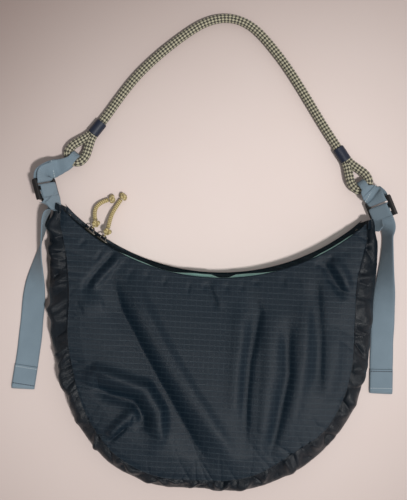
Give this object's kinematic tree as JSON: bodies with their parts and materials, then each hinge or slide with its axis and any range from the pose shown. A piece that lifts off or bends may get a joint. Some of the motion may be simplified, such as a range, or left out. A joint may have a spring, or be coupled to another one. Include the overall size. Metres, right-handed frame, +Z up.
{
  "type": "sling bag",
  "caption": "Zipped D-shaped sling bag of thin nylon with a braided rope handle, webbing straps, ladder locks and cord zip pulls.",
  "frame": {"origin": "on the back panel under the belly of the bag, where it rests on a surface", "axes": "+X to the bag's right, +Y from the bottom of the bag to its handle, +Z up, out of the front panel"},
  "size_m": [0.4157, 0.5158, 0.0516],
  "materials": {
    "ripstop": "matt coated nylon ripstop with a fine grid",
    "gusset_nylon": "plain nylon with a soft sheen",
    "zip_tape": "woven polyester tape, teal",
    "zip_chain": "nylon coil",
    "slider_metal": "cast zinc, satin",
    "pull_cord": "braided cord, golden beige",
    "webbing": "plain woven webbing, blue-grey",
    "lock_plastic": "moulded acetal, black",
    "whipping_thread": "wound waxed thread, navy",
    "rope": "braided rope, cream and dark olive check"
  },
  "bodies": {
    "bag": {"back_panel": "ripstop", "corner_tab_left": "gusset_nylon", "corner_tab_right": "gusset_nylon", "front_panel": "ripstop", "gusset": "gusset_nylon", "zip_coil_back": "zip_chain", "zip_coil_front": "zip_chain", "zip_stop_left": "zip_chain", "zip_stop_right": "zip_chain", "zip_tape_back": "zip_tape", "zip_tape_front": "zip_tape"},
    "straps": {"strap_left": "webbing", "strap_right": "webbing"},
    "handle": {"handle_rope": "rope", "ladder_lock_left": "lock_plastic", "ladder_lock_right": "lock_plastic", "link_webbing_left": "webbing", "link_webbing_right": "webbing", "rope_eye_left": "rope", "rope_eye_right": "rope", "whipping_left": "whipping_thread", "whipping_right": "whipping_thread"},
    "slider_left": {"slider_bail_left": "slider_metal", "slider_body_left": "slider_metal"},
    "pull_left": {"pull_base_knot_left": "pull_cord", "pull_cord_left": "pull_cord", "pull_end_knot_left": "pull_cord"},
    "slider_right": {"slider_bail_right": "slider_metal", "slider_body_right": "slider_metal"},
    "pull_right": {"pull_base_knot_right": "pull_cord", "pull_cord_right": "pull_cord", "pull_end_knot_right": "pull_cord"}
  },
  "joints": [
    {"name": "strap_adjust", "type": "slide", "parent": "bag", "child": "straps", "axis": [0, 1, 0], "range_m": [0, 0.14], "deforming": ["strap_left", "strap_right"]},
    {"name": "handle_swing", "type": "hinge", "parent": "straps", "child": "handle", "pos_m": [0, 0.1795, 0.0185], "axis": [1, 0, 0], "range_deg": [0, 120]},
    {"name": "slider_left_travel", "type": "hinge", "parent": "bag", "child": "slider_left", "pos_m": [0, 0.333, 0.015], "axis": [0, 0, 1], "range_deg": [-4.5, 0]},
    {"name": "slider_right_travel", "type": "hinge", "parent": "bag", "child": "slider_right", "pos_m": [0, 0.333, 0.015], "axis": [0, 0, 1], "range_deg": [0, 68.5]},
    {"name": "pull_left_swing", "type": "hinge", "parent": "slider_left", "child": "pull_left", "pos_m": [-0.13194, 0.13739, 0.015], "axis": [0, 0, 1], "range_deg": [0, 35]},
    {"name": "pull_right_swing", "type": "hinge", "parent": "slider_right", "child": "pull_right", "pos_m": [-0.11869, 0.12907, 0.015], "axis": [0, 0, 1], "range_deg": [-60, 0]}
  ]
}
